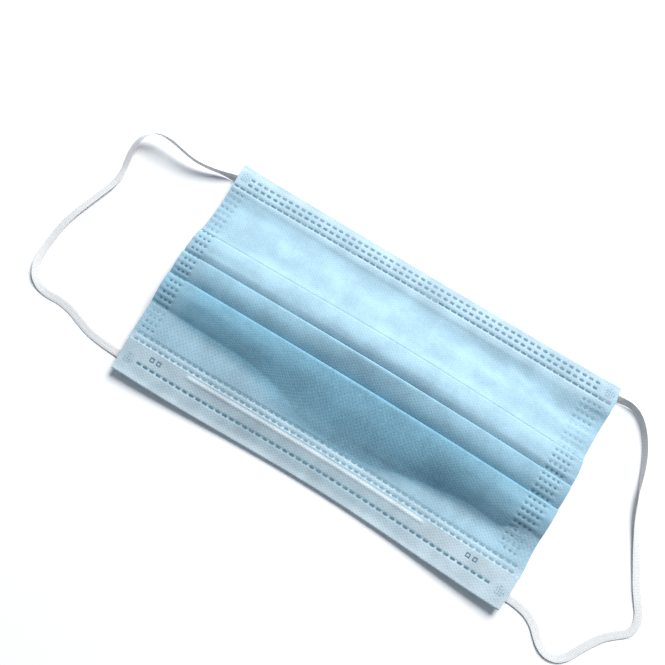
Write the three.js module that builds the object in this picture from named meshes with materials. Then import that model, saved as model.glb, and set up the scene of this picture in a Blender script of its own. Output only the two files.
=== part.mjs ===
// Pleated face mask with two elastic ear loops, lying front side up as it comes out of its box.
// Millimetres, +Z up. X runs along the width, +Y points to the chin edge and -Y to the nose edge.
// The origin is on the resting surface, under the middle of the mask.
import * as THREE from "three";

// Driving dimensions
const MASK_WIDTH = 175; // between the corners
const CHIN_EDGE_Y = 48.8;
const NOSE_EDGE_Y = -48.8; // at the corners
const NOSE_EDGE_BOW = { depth: 2.0, centre: 8, reach: 84 }; // the nose edge bends in round this X
const SIDE_BULGE = 0.4; // how far the welded pleat ends stand out past the corners
const SIDE_BULGE_REACH = 24; // half length of that bulge, along Y
const WALL = 1.0; // all the plies together
const LAYER_GAP = 0.35; // air between two folded layers
const CHIN_TURN_UNDER = 10.8; // width of the chin edge that is turned under
const NOSE_HEM_FRONT = 15.0; // width of the pale band over the nose edge, in front
const NOSE_HEM_BACK = 12.0; // and behind
const NOSE_MARGIN = 2.4; // how far the body stops short of the nose edge, inside the band
const WIRE = { start: -59, end: 46.5, y: -36.5, width: 2.6, thickness: 0.8, gap: 0.3 };
const STRAP = { width: 3.2, thickness: 0.9 };
const STRAP_SIDES = 8;
const STRAP_STEPS = 50;
const FRONT_BLUE = 0x9fd0e6;
const HEM_PALE = 0xd3e2e8;
const WIRE_WHITE = 0xf3f4f2;
const STRAP_WHITE = 0xf2f2f0;

// Worked out from them
const PITCH = WALL + LAYER_GAP; // one folded layer to the next
const FOLD_RADIUS = PITCH / 2; // of a fold's centre line
const FLOOR_LEVEL = WALL / 2 + PITCH; // centre line of a wall that has one layer under it
const HALF_WIDTH = MASK_WIDTH / 2;
const TUCK_RUN = 3.0; // Y run in which a panel dips under the fold of the next one
const TUCK_PAST_EDGE = 0.4; // the dip ends this far past that fold
const WIRE_LEVEL = (WALL / 2 + WIRE.gap + WIRE.thickness / 2) / PITCH;
const RIDGE = WIRE.thickness + 2 * WIRE.gap - LAYER_GAP; // rise of the band over the wire

// The knife pleats, from the chin to the nose. edge is the visible fold, turn the hidden one under it.
const PLEATS = [
  { name: "chin", edge: 18.0, turn: 9.5 },
  { name: "middle", edge: 7.0, turn: -1.0 },
  { name: "nose", edge: -3.5, turn: -15.4 },
];

// How the mask puffs up along its width: rise of the crest, Y of the foot of the last panel, lift of both edges.
const SECTIONS = [
  { x: -87.5, rise: 2.8, foot: -18.8, chinLift: 2.3, noseLift: 1.7 },
  { x: -75.0, rise: 4.6, foot: -18.9, chinLift: 1.1, noseLift: 1.4 },
  { x: -60.0, rise: 5.9, foot: -19.4, chinLift: 0.7, noseLift: 0.8 },
  { x: -30.0, rise: 7.0, foot: -22.0, chinLift: 0.3, noseLift: 0.0 },
  { x: -8.0, rise: 7.3, foot: -27.0, chinLift: 0.0, noseLift: 0.4 },
  { x: 8.0, rise: 7.4, foot: -29.0, chinLift: 0.0, noseLift: 0.4 },
  { x: 30.0, rise: 7.0, foot: -26.5, chinLift: 0.3, noseLift: 0.0 },
  { x: 60.0, rise: 5.8, foot: -21.5, chinLift: 0.7, noseLift: 0.9 },
  { x: 75.0, rise: 4.3, foot: -19.6, chinLift: 1.1, noseLift: 1.5 },
  { x: 87.5, rise: 2.6, foot: -18.8, chinLift: 2.3, noseLift: 1.8 },
];

// The lowest layer across the mask: share of the crest's rise and of each edge's lift. A null y is the foot.
const PROFILE = [
  { name: "chin edge", y: CHIN_EDGE_Y, rise: 0.0, chin: 1.0, nose: 0.0 },
  { name: "hem", y: 37.6, rise: 0.0, chin: 1.0, nose: 0.0 },
  { name: "chin valley", y: 33.0, rise: 0.14, chin: 0.9, nose: 0.0 },
  { name: "chin slope", y: 25.0, rise: 0.56, chin: 0.6, nose: 0.0 },
  { name: "crest", y: 13.0, rise: 1.0, chin: 0.3, nose: 0.1 },
  { name: "pleats", y: 1.0, rise: 0.98, chin: 0.1, nose: 0.2 },
  { name: "shoulder", y: -12.0, rise: 0.76, chin: 0.0, nose: 0.4 },
  { name: "foot", y: null, rise: 0.16, chin: 0.0, nose: 0.6 },
  { name: "nose hem", y: -33.4, rise: 0.0, chin: 0.0, nose: 0.8 },
  { name: "nose edge", y: NOSE_EDGE_Y, rise: 0.0, chin: 0.0, nose: 1.0 },
];

// X of the sections that the walls are lofted through, closer together at the corners and at the wire's ends.
const STATIONS = [
  -87.5, -84, -79, -72, -65, -60, -50, -40, -30, -19, -8, 8, 19, 30, 40, 47.5, 52.5, 60, 68, 76, 82, 87.5,
];

// Centre lines of the ear loops, from the chin corner round to the nose corner. Both ends lie under the mask.
const LEFT_LOOP = [
  [-80.5, 43.0, 0.8], [-84.5, 42.9, 1.25], [-89.0, 42.3, 1.7], [-94.2, 41.3, 2.4], [-100.0, 40.1, 3.3],
  [-106.0, 39.6, 4.3], [-112.0, 40.3, 5.3], [-117.8, 41.2, 6.0], [-123.2, 41.0, 5.9], [-127.7, 38.9, 4.8],
  [-130.3, 35.0, 3.3], [-130.8, 30.2, 2.0], [-130.1, 25.2, 1.3], [-129.4, 20.0, 0.8], [-129.9, 14.6, 0.6],
  [-131.8, 8.8, 0.6], [-134.0, 2.6, 0.6], [-136.2, -3.8, 0.6], [-137.8, -10.4, 0.6], [-138.4, -17.2, 0.6],
  [-138.5, -24.0, 0.6], [-137.7, -29.4, 0.6], [-135.4, -33.8, 0.6], [-131.6, -36.6, 0.6], [-126.8, -37.6, 0.6],
  [-121.6, -37.5, 0.6], [-115.6, -38.2, 0.6], [-109.4, -40.2, 0.6], [-103.6, -41.9, 0.6], [-97.6, -42.6, 0.65],
  [-91.8, -42.8, 0.75], [-86.5, -42.9, 0.8], [-80.5, -42.9, 0.7],
];
const RIGHT_LOOP = [
  [80.5, 44.8, 0.8], [84.5, 44.9, 1.25], [89.0, 45.1, 1.7], [93.6, 45.4, 1.8], [97.4, 44.4, 1.7],
  [100.6, 42.2, 1.6], [103.2, 39.4, 1.5], [105.4, 36.2, 1.4], [107.4, 32.6, 1.4], [109.2, 28.4, 1.4],
  [110.9, 23.6, 1.4], [112.6, 18.6, 1.3], [114.8, 13.6, 1.1], [117.4, 8.4, 0.9], [120.6, 2.4, 0.7],
  [123.9, -3.8, 0.6], [127.0, -9.4, 0.6], [129.8, -14.4, 0.6], [132.6, -18.6, 0.6], [135.0, -22.3, 0.6],
  [136.2, -26.4, 0.6], [135.1, -30.3, 0.6], [131.9, -33.2, 0.6], [128.2, -36.6, 0.6], [124.8, -41.2, 0.6],
  [121.8, -46.4, 0.6], [119.5, -50.3, 0.6], [116.7, -52.7, 0.6], [113.2, -53.4, 0.6], [109.7, -52.4, 0.6],
  [106.6, -50.0, 0.6], [103.4, -47.0, 0.6], [99.2, -44.6, 0.65], [94.4, -43.5, 0.7], [90.0, -43.2, 0.75],
  [86.0, -43.2, 0.8], [80.5, -43.1, 0.7],
];

// Slope of a smooth curve at knot i that never overshoots the knots.
function knotSlope(knots, i) {
  if (i === 0 || i === knots.length - 1) return 0;
  const [x0, y0] = knots[i - 1];
  const [x1, y1] = knots[i];
  const [x2, y2] = knots[i + 1];
  const before = (y1 - y0) / (x1 - x0);
  const after = (y2 - y1) / (x2 - x1);
  return before * after <= 0 ? 0 : (2 * before * after) / (before + after);
}

// Value at x of that curve through knots [x, value], which are in rising order of x.
function smoothThrough(knots, x) {
  const last = knots.length - 2;
  let i = 0;
  while (i < last && x > knots[i + 1][0]) i += 1;
  const [x0, y0] = knots[i];
  const [x1, y1] = knots[i + 1];
  const run = x1 - x0;
  const t = THREE.MathUtils.clamp((x - x0) / run, 0, 1);
  const s0 = knotSlope(knots, i) * run;
  const s1 = knotSlope(knots, i + 1) * run;
  const bend0 = t * (1 - t) * (1 - t) * s0;
  const bend1 = t * t * (t - 1) * s1;
  return y0 + (y1 - y0) * t * t * (3 - 2 * t) + bend0 + bend1;
}

// One column of the table of sections, at x.
function sectionAt(column, x) {
  return smoothThrough(SECTIONS.map((row) => [row.x, row[column]]), x);
}

function noseEdgeAt(x) {
  const share = THREE.MathUtils.clamp((x - NOSE_EDGE_BOW.centre) / NOSE_EDGE_BOW.reach, -1, 1);
  return NOSE_EDGE_Y + NOSE_EDGE_BOW.depth * Math.cos((share * Math.PI) / 2) ** 2;
}

// Height of the lowest layer's centre line for one section of the mask.
function heightsAt(x) {
  const rise = sectionAt("rise", x);
  const chinLift = sectionAt("chinLift", x);
  const noseLift = sectionAt("noseLift", x);
  const foot = sectionAt("foot", x);
  const knots = PROFILE.map((row) => [
    row.y ?? foot,
    FLOOR_LEVEL + row.rise * rise + row.chin * chinLift + row.nose * noseLift,
  ]);
  knots.reverse();
  return (y) => smoothThrough(knots, y);
}

// A path across the mask is a list of { y, level }, where a level is one folded layer up.
function run(path, fromY, toY, level, points) {
  for (let i = 0; i < points; i += 1) {
    const t = points === 1 ? 0 : i / (points - 1);
    path.push({ y: THREE.MathUtils.lerp(fromY, toY, t), level });
  }
}

// A panel that changes level in a smooth S.
function dip(path, fromY, toY, fromLevel, toLevel, points) {
  for (let i = 1; i <= points; i += 1) {
    const t = i / (points + 1);
    const level = THREE.MathUtils.lerp(fromLevel, toLevel, t * t * (3 - 2 * t));
    path.push({ y: THREE.MathUtils.lerp(fromY, toY, t), level });
  }
}

// A half turn round a fold. side is +1 where the fold points to the chin.
function fold(path, centreY, side, fromLevel, toLevel, points) {
  const middle = (fromLevel + toLevel) / 2;
  const half = (toLevel - fromLevel) / 2;
  const reach = Math.abs(half) * PITCH;
  for (let i = 1; i <= points; i += 1) {
    const angle = (Math.PI * i) / (points + 1);
    path.push({ y: centreY + side * reach * Math.sin(angle), level: middle - half * Math.cos(angle) });
  }
}

// Centre of a fold whose outer face is at y.
function foldCentre(y, side) {
  return y - side * (WALL / 2 + FOLD_RADIUS);
}

// The body from the raw edge turned under at the chin to its margin inside the nose band.
function bodyPath(x) {
  const path = [];
  const chinCentre = foldCentre(CHIN_EDGE_Y, 1);
  run(path, CHIN_EDGE_Y - CHIN_TURN_UNDER, chinCentre, -1, 3);
  fold(path, chinCentre, 1, -1, 0, 3);
  let panelStart = chinCentre;
  PLEATS.forEach((pleat, i) => {
    const turnCentre = foldCentre(pleat.turn, -1);
    const edgeCentre = foldCentre(pleat.edge, 1);
    run(path, panelStart, turnCentre, 0, i === 0 ? 10 : 4);
    fold(path, turnCentre, -1, 0, 1, 3);
    run(path, turnCentre, edgeCentre, 1, 3);
    fold(path, edgeCentre, 1, 1, 2, 3);
    const next = PLEATS[i + 1];
    const dipEnd = next ? next.edge - TUCK_PAST_EDGE : sectionAt("foot", x);
    const dipStart = next ? dipEnd + TUCK_RUN : pleat.turn + 0.1;
    run(path, edgeCentre, dipStart, 2, 4);
    dip(path, dipStart, dipEnd, 2, 0, 4);
    panelStart = dipEnd;
  });
  run(path, panelStart, noseEdgeAt(x) + NOSE_MARGIN, 0, 7);
  return path;
}

// Share of the wire's ridge at x: 1 along the wire, 0 past its ends.
function ridgeAt(x) {
  const past = Math.max(WIRE.start - x, x - WIRE.end, 0);
  return 1 - THREE.MathUtils.smoothstep(past, 1.2, 5.5);
}

// The pale band that wraps the nose edge, from its front raw edge over the wire and round to the back.
function hemPath(x) {
  const path = [];
  const edge = noseEdgeAt(x);
  const shift = edge - NOSE_EDGE_Y;
  const ridge = (RIDGE / PITCH) * ridgeAt(x);
  const wireChin = WIRE.y + shift + WIRE.width / 2;
  const wireNose = WIRE.y + shift - WIRE.width / 2;
  const turnCentre = edge + WALL / 2 + PITCH;
  run(path, edge + NOSE_HEM_FRONT, wireChin + 1.0, 1, 2);
  run(path, wireChin + 0.2, wireNose - 0.2, 1 + ridge, 3);
  run(path, wireNose - 1.1, turnCentre, 1, 4);
  fold(path, turnCentre, -1, 1, -1, 5);
  run(path, turnCentre, edge + NOSE_HEM_BACK, -1, 4);
  return path;
}

// The flat nose wire, between the body and the band.
function wirePath(x) {
  const path = [];
  const shift = noseEdgeAt(x) - NOSE_EDGE_Y;
  run(path, WIRE.y + shift + WIRE.width / 2, WIRE.y + shift - WIRE.width / 2, WIRE_LEVEL, 2);
  return path;
}

// The side edges stand out where the pleat ends are welded.
function sideShift(x, y) {
  const share = Math.exp(-((y / SIDE_BULGE_REACH) ** 4));
  return SIDE_BULGE * share * (x / HALF_WIDTH) ** 9;
}

// The two faces of one section of a wall, as points either side of its path.
function wallSection(x, path, thickness) {
  const height = heightsAt(x);
  const centre = path.map(({ y, level }) => new THREE.Vector2(y, height(y) + level * PITCH));
  const front = [];
  const back = [];
  centre.forEach((point, i) => {
    const before = centre[Math.max(i - 1, 0)];
    const after = centre[Math.min(i + 1, centre.length - 1)];
    const along = after.clone().sub(before).normalize();
    const offset = new THREE.Vector2(along.y, -along.x).multiplyScalar(thickness / 2);
    for (const [face, sign] of [[front, 1], [back, -1]]) {
      const y = point.x + sign * offset.x;
      face.push([x + sideShift(x, y), y, point.y + sign * offset.y]);
    }
  });
  return { front, back };
}

// A closed wall lofted along X through the sections of a path.
function wall(pathAt, stations, thickness) {
  const sections = stations.map((x) => wallSection(x, pathAt(x), thickness));
  const across = sections[0].front.length;
  const positions = sections.flatMap(({ front, back }) => [...front, ...back]).flat();
  const indices = [];
  const at = (j, i, face) => (2 * j + face) * across + i;
  const quad = (a, b, c, d) => indices.push(a, b, c, a, c, d);
  for (let j = 0; j < stations.length - 1; j += 1) {
    for (let i = 0; i < across - 1; i += 1) {
      quad(at(j, i, 0), at(j, i + 1, 0), at(j + 1, i + 1, 0), at(j + 1, i, 0));
      quad(at(j, i, 1), at(j + 1, i, 1), at(j + 1, i + 1, 1), at(j, i + 1, 1));
    }
    const end = across - 1;
    quad(at(j, 0, 0), at(j + 1, 0, 0), at(j + 1, 0, 1), at(j, 0, 1));
    quad(at(j, end, 0), at(j, end, 1), at(j + 1, end, 1), at(j + 1, end, 0));
  }
  const far = stations.length - 1;
  for (let i = 0; i < across - 1; i += 1) {
    quad(at(0, i, 0), at(0, i, 1), at(0, i + 1, 1), at(0, i + 1, 0));
    quad(at(far, i, 0), at(far, i + 1, 0), at(far, i + 1, 1), at(far, i, 1));
  }
  const geometry = new THREE.BufferGeometry();
  geometry.setAttribute("position", new THREE.Float32BufferAttribute(positions, 3));
  geometry.setIndex(indices);
  geometry.computeVertexNormals();
  return geometry;
}

// A curve along which a flat section stays level instead of twisting.
class LevelCurve extends THREE.CatmullRomCurve3 {
  computeFrenetFrames(segments) {
    const up = new THREE.Vector3(0, 0, 1);
    const frames = { tangents: [], normals: [], binormals: [] };
    for (let i = 0; i <= segments; i += 1) {
      const tangent = this.getTangentAt(i / segments);
      const normal = tangent.clone().cross(up).normalize();
      frames.tangents.push(tangent);
      frames.normals.push(normal);
      frames.binormals.push(tangent.clone().cross(normal));
    }
    return frames;
  }
}

// Flat elastic strap along a route.
function strap(route) {
  const section = new THREE.Shape();
  for (let i = 0; i < STRAP_SIDES; i += 1) {
    const angle = (2 * Math.PI * (i + 0.5)) / STRAP_SIDES;
    const corner = Math.cos(Math.PI / STRAP_SIDES);
    const across = ((STRAP.width / 2) * Math.cos(angle)) / corner;
    const along = ((STRAP.thickness / 2) * Math.sin(angle)) / corner;
    if (i === 0) section.moveTo(across, along);
    else section.lineTo(across, along);
  }
  section.closePath();
  const points = route.map((point) => new THREE.Vector3(...point));
  const extrudePath = new LevelCurve(points, false, "centripetal");
  return new THREE.ExtrudeGeometry(section, { steps: STRAP_STEPS, bevelEnabled: false, extrudePath });
}

function cloth(color) {
  return new THREE.MeshStandardMaterial({ color, roughness: 0.85, metalness: 0 });
}

function piece(name, geometry, material) {
  const mesh = new THREE.Mesh(geometry, material);
  mesh.name = name;
  return mesh;
}

const wireStations = [WIRE.start, ...STATIONS.filter((x) => x > WIRE.start && x < WIRE.end), WIRE.end];
const wirePlastic = new THREE.MeshStandardMaterial({ color: WIRE_WHITE, roughness: 0.5, metalness: 0 });

const mask = new THREE.Group();
mask.add(
  piece("pleated_body", wall(bodyPath, STATIONS, WALL), cloth(FRONT_BLUE)),
  piece("nose_hem", wall(hemPath, STATIONS, WALL), cloth(HEM_PALE)),
  piece("nose_wire", wall(wirePath, wireStations, WIRE.thickness), wirePlastic),
  piece("ear_loop_left", strap(LEFT_LOOP), cloth(STRAP_WHITE)),
  piece("ear_loop_right", strap(RIGHT_LOOP), cloth(STRAP_WHITE)),
);

export default mask;
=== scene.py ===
"""Pleated surgical face mask, dressed over its solids. Lengths are in metres, in the solids' own frame."""
import math

import bpy
import numpy as np
from mathutils import Matrix, Vector
from mathutils.bvhtree import BVHTree


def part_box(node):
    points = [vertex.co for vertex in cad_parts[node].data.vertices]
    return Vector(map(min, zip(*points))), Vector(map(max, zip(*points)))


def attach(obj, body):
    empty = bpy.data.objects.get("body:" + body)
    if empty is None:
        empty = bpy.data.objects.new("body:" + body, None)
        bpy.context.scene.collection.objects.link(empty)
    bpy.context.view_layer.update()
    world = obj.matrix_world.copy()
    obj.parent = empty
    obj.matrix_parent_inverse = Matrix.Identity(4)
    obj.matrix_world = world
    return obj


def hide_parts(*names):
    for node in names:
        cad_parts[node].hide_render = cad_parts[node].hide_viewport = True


bl_info = {
    "name": "Pleated Face Mask",
    "version": (1, 0, 0),
    "blender": (4, 5, 0),
    "location": "3D View > Sidebar > Face Mask",
    "description": "Builds the cloth, welds, nose wire and ear loops of a pleated face mask",
    "category": "Add Mesh",
}

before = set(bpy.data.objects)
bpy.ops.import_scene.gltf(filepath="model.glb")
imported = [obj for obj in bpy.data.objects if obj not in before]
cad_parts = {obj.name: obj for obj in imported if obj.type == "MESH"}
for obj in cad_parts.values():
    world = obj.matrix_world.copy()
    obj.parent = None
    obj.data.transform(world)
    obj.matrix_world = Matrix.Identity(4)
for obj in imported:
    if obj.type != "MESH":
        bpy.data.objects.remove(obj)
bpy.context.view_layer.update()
MM = 0.001


def table(columns, *rows):
    """Rows of numbers as dictionaries, by the names of their columns."""
    return [dict(zip(columns.split(), row)) for row in rows]


# Outline of the mask, from the frame. The soft edges reach a little past their solids
EDGE_OUT = 0.4 * MM
CHIN_EDGE_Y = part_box("pleated_body")[1].y + EDGE_OUT
NOSE_EDGE_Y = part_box("nose_hem")[0].y - EDGE_OUT
HALF_WIDTH = 87.5 * MM
BOW_CENTRE = 8 * MM
BOW_REACH = 84 * MM
WIRE_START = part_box("nose_wire")[0].x
WIRE_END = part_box("nose_wire")[1].x

# The photograph's camera: square frame, focal length in widths of the frame
CAMERA = {
    "focal_widths": 1.5038,
    "azimuth": 35.608,
    "elevation": 80.378,
    "roll": -3.917,
    "distance": 0.39917,
    "target": (-0.02089, 0.009008, 0.0),
}

# The knife pleats from chin to nose: visible fold and hidden turn. At the sides and in the middle of the
# mask: spacing of the layers, how late the panel bends down to the next fold, and how far it swells. How
# dark blue the panel is at its top, where layers show through, and at its bottom, where painted shade is
# added under the next fold
PLEATS = (
    {
        "edge": 0.0162, "turn": 0.0124, "pitch": (0.00050, 0.00052),
        "bend": (5.0, 5.0), "swell": (0.0, 0.0), "dense_and_shade": (0.05, 0.35),
    },
    {
        "edge": 0.0053, "turn": 0.0015, "pitch": (0.00050, 0.00105),
        "bend": (2.5, 1.3), "swell": (0.0005, 0.0), "dense_and_shade": (0.45, 1.0),
    },
    {
        "edge": -0.00495, "turn": -0.0092, "pitch": (0.00050, 0.00115),
        "swell": (0.0005, 0.0003), "dense_and_shade": (1.0, 1.0),
    },
)
FOLDS_OPEN_REACH = 0.030
FOLD_TUCK = 0.1 * MM
FIRST_GROOVE = 0.6 * MM
# How far each pleat stands out past the one before it, at the side edges
PLEAT_STEP = 0.00012

# Where the last panel ends, the seam along the nose hem, and the margin inside the hem
PANEL_END = -30.4 * MM
SEAM = (-30.7 * MM, -35.1 * MM)
SEAM_FADE = (-33 * MM, -30 * MM)
MARGIN = (-35.6 * MM, NOSE_EDGE_Y + 2.4 * MM)

# How much whiter, or how much less dark with layers, the cloth gets, and the stretch in which it does. The
# whiter chin hem, the whiter ends of the nose hem and its whiter folded edge are painted highlight
CHIN_HIGHLIGHT = ((0.24, 36 * MM, 40 * MM), (0.16, 44.5 * MM, 48.5 * MM))
SEAM_WHITE = (0.36, 30.5 * MM, 33 * MM)
WELDED_ENDS = (0.45, 71 * MM, 79 * MM)
RIGHT_END = (0.30, 44 * MM, 72 * MM)
LOW_PANEL = (0.28, 19 * MM, 29 * MM)
# Painted highlight: the nose hem whiter towards its ends, more at the right
HEM_HIGHLIGHT_RIGHT = (0.25, 25 * MM, 60 * MM)
HEM_HIGHLIGHT_LEFT = (0.12, 25 * MM, 60 * MM)
# Painted highlight along the folded nose edge
HEM_EDGE_HIGHLIGHT = (0.3, -NOSE_EDGE_Y - 4.5 * MM, -NOSE_EDGE_Y - 1.5 * MM)
# Painted shade: the nose hem darker towards its middle
HEM_MIDDLE_SHADE = {"share": 0.7, "centre": -5 * MM, "reach": 34 * MM}

# The ridge that the wire makes in the hem: how fast its ends and sides fall off, and how white it is: the
# wire showing through, with a painted highlight along the ridge
RIDGE = {"ends": 1.2 * MM, "sides": 0.52, "power": 2.2, "white": 0.7}
WIRE_CLEARANCE = 0.02 * MM
WIRE_POWER = 0.4

# How far the lines along the mask bow to the chin in its middle, besides the bow of the nose edge
FOLD_BOWS = table(
    "y depth",
    (-0.0200, 0.0),
    (-0.0040, 0.00045),
    (0.0060, 0.00050),
    (0.0170, 0.00100),
    (0.0360, 0.0),
)

# How far the side edges stand out past straight ones, and how soon that fades towards the middle
SIDE_POWER = 9
SIDE_LINES = table(
    "y left right",
    (-0.0488, 0.0000, 0.0011),
    (-0.0430, 0.0003, 0.0018),
    (-0.0350, 0.0005, 0.0018),
    (-0.0200, 0.0005, 0.0011),
    (-0.0080, 0.0006, 0.0011),
    (0.0080, 0.0004, 0.0011),
    (0.0200, -0.0005, 0.0003),
    (0.0300, -0.0008, 0.0005),
    (0.0400, -0.0005, 0.0007),
    (0.0488, 0.0000, 0.0001),
)

# Along the width: how full the mask is, the foot of its last panel, how late that panel drops to it, how
# softly it ends there and how far its layers show through past it, how far the chin hem rolls, and how far
# both edges lift
SECTIONS = table(
    "x fullness foot drop soft fade crown chin_lift nose_lift",
    (-0.0875, 0.50, -0.0180, 2.2, 0.0, 0.0010, 0.8, 0.00230, 0.00210),
    (-0.0750, 0.78, -0.0184, 2.2, 0.1, 0.0025, 1.0, 0.00110, 0.00170),
    (-0.0600, 0.93, -0.0186, 1.9, 0.25, 0.0042, 1.0, 0.00070, 0.00105),
    (-0.0450, 1.00, -0.0190, 1.9, 0.4, 0.0060, 1.0, 0.00050, 0.00052),
    (-0.0340, 1.00, -0.0205, 1.7, 0.7, 0.0085, 1.0, 0.00035, 0.00020),
    (-0.0240, 1.00, -0.0234, 1.3, 1.0, 0.0115, 1.0, 0.00022, 0.00010),
    (-0.0120, 1.00, -0.0280, 1.1, 1.0, 0.0110, 1.0, 0.00005, 0.00000),
    (0.0060, 1.00, -0.0302, 1.1, 1.0, 0.0060, 0.9, 0.00000, 0.00000),
    (0.0180, 1.00, -0.0294, 1.5, 0.7, 0.0040, 0.77, 0.00012, 0.00006),
    (0.0260, 1.00, -0.0270, 1.8, 0.5, 0.0030, 0.68, 0.00022, 0.00012),
    (0.0450, 1.00, -0.0228, 2.2, 0.35, 0.0040, 0.4, 0.00050, 0.00052),
    (0.0600, 0.92, -0.0208, 2.4, 0.3, 0.0040, 0.3, 0.00070, 0.00115),
    (0.0720, 0.75, -0.0218, 2.6, 0.15, 0.0028, 0.37, 0.00100, 0.00165),
    (0.0765, 0.66, -0.0195, 3.0, 0.0, 0.0010, 0.42, 0.00120, 0.00190),
    (0.0800, 0.60, -0.0181, 2.4, 0.0, 0.0010, 0.48, 0.00150, 0.00205),
    (0.0875, 0.47, -0.0178, 2.2, 0.0, 0.0010, 0.6, 0.00230, 0.00225),
)

# The lowest layer across the mask: its height at four stations along the mask, the height of the rolled
# chin hem, and shares of both edges' lift
PROFILE_STATIONS = (-0.045, 0.0, 0.024, 0.045)
PROFILE = table(
    "y height crown chin nose",
    (0.0488, (0.00000, 0.00000, 0.00000, 0.00000), 0.00000, 1.0, 0.0),
    (0.0460, (0.00000, 0.00000, 0.00000, 0.00000), 0.00050, 1.0, 0.0),
    (0.0430, (0.00000, 0.00000, 0.00000, 0.00000), 0.00090, 1.0, 0.0),
    (0.0382, (0.00000, 0.00000, 0.00000, 0.00000), 0.00105, 1.0, 0.0),
    (0.0366, (0.00010, 0.00010, 0.00000, 0.00000), 0.00080, 1.0, 0.0),
    (0.0340, (0.00045, 0.00048, 0.00025, 0.00005), 0.00075, 0.9, 0.0),
    (0.0300, (0.00175, 0.00180, 0.00130, 0.00080), 0.00055, 0.8, 0.0),
    (0.0250, (0.00410, 0.00410, 0.00360, 0.00320), 0.00030, 0.6, 0.0),
    (0.0190, (0.00630, 0.00655, 0.00590, 0.00540), 0.00000, 0.4, 0.0),
    (0.0150, (0.00830, 0.00860, 0.00800, 0.00740), 0.00000, 0.3, 0.1),
    (0.0120, (0.00930, 0.00950, 0.00910, 0.00855), 0.00000, 0.3, 0.1),
    (0.0095, (0.00980, 0.00982, 0.00950, 0.00915), 0.00000, 0.2, 0.1),
    (0.0080, (0.00993, 0.00970, 0.00942, 0.00920), 0.00000, 0.2, 0.2),
    (0.0070, (0.00993, 0.00950, 0.00928, 0.00915), 0.00000, 0.2, 0.2),
    (0.0020, (0.00980, 0.00880, 0.00860, 0.00890), 0.00000, 0.1, 0.2),
    (-0.0035, (0.00920, 0.00800, 0.00790, 0.00840), 0.00000, 0.0, 0.3),
    (-0.0070, (0.00900, 0.00730, 0.00730, 0.00810), 0.00000, 0.0, 0.3),
    (-0.0100, (0.00860, 0.00670, 0.00670, 0.00760), 0.00000, 0.0, 0.4),
    (-0.0130, (0.00790, 0.00610, 0.00610, 0.00680), 0.00000, 0.0, 0.4),
    (-0.0160, (0.00695, 0.00550, 0.00550, 0.00560), 0.00000, 0.0, 0.5),
    (-0.0190, (0.00600, 0.00480, 0.00475, 0.00410), 0.00000, 0.0, 0.5),
    (-0.0220, (0.00505, 0.00405, 0.00375, 0.00240), 0.00000, 0.0, 0.6),
    (-0.0240, (0.00464, 0.00350, 0.00300, 0.00160), 0.00000, 0.0, 0.65),
    (-0.0260, (0.00435, 0.00295, 0.00215, 0.00130), 0.00000, 0.0, 0.7),
    (-0.0310, (0.00350, 0.00160, 0.00105, 0.00145), 0.00000, 0.0, 0.8),
    (-0.0360, (0.00235, 0.00115, 0.00075, 0.00100), 0.00000, 0.0, 0.9),
    (-0.0420, (0.00100, 0.00055, 0.00035, 0.00040), 0.00000, 0.0, 0.95),
    (-0.0488, (0.00000, 0.00000, 0.00000, 0.00000), 0.00000, 0.0, 1.0),
)

# Soft dents and swells of the panels: place, half lengths, turn in degrees, height
DENTS = table(
    "x y along across turn height",
    (0.0740, 0.0285, 0.0140, 0.0048, -6, -0.00090),
    (0.0450, 0.0345, 0.0160, 0.0035, 4, -0.00045),
    (0.0840, 0.0335, 0.0060, 0.0030, 0, -0.00050),
    (0.0660, 0.0262, 0.0100, 0.0016, -16, 0.00022),
    (0.0700, 0.0222, 0.0090, 0.0014, -12, 0.00016),
    (0.0560, 0.0300, 0.0090, 0.0016, -20, 0.00020),
    (-0.0700, 0.0330, 0.0120, 0.0030, 5, -0.00025),
    (0.0020, -0.0080, 0.0060, 0.0050, 0, -0.00030),
    (0.0025, -0.0190, 0.0110, 0.0022, 86, 0.00028),
)

# Rows of weld dashes along X: y where x is 0, slant and arch, first and last dash, spacing, dash, depth of
# the groove that they lie in
WELD_ROWS = table(
    "hem y slant arch start end pitch dash groove",
    ("chin", 0.04625, 0.0095, 0.105, -0.0808, 0.0800, 0.00295, (0.00185, 0.00100), 0.0),
    ("chin", 0.04380, 0.0095, 0.105, -0.0808, 0.0800, 0.00295, (0.00185, 0.00100), 0.0),
    ("chin", 0.04110, 0.0095, 0.105, -0.0855, 0.0860, 0.00290, (0.00240, 0.00085), 0.00016),
    ("seam", -0.0316, 0.0, 0.0, -0.0855, 0.0860, 0.00290, (0.00190, 0.00085), 0.00010),
    ("seam", -0.0343, 0.0, 0.0, -0.0855, 0.0860, 0.00290, (0.00190, 0.00085), 0.00010),
    ("nose", -0.0422, 0.0, 0.0, -0.0790, 0.0800, 0.00305, (0.00210, 0.00095), 0.00006),
)

# The welds that hold the pleat ends: columns of dots, the zone of their grooves, the first row
WELD_COLUMNS = (
    {"x": (-0.0856, -0.0835, -0.0813), "zone": (-0.0876, -0.0804), "first": 0.0369},
    {"x": (0.0769, 0.0791, 0.0814, 0.0836), "zone": (0.0759, 0.0855), "first": 0.0379},
)
WELD_COLUMN_ROWS = 26
WELD_COLUMN_PITCH = 0.00262
WELD_COLUMN_DOT = (0.00110, 0.00080)
DEEP_WELD_TOP = 0.0160
DEEP_WELD_BOTTOM = -0.0180
DEEP_GROOVE = 0.00012
FAINT_GROOVE = 0.00009
GROOVE_REACH = 0.7 * MM
GROOVE_END = 0.8 * MM

# How far a weld's press reaches past a round mark and past a dash, and the width of its slope
PRESS = {"round": 0.2 * MM, "dash": 0.25 * MM, "slope": 0.4 * MM}

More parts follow.
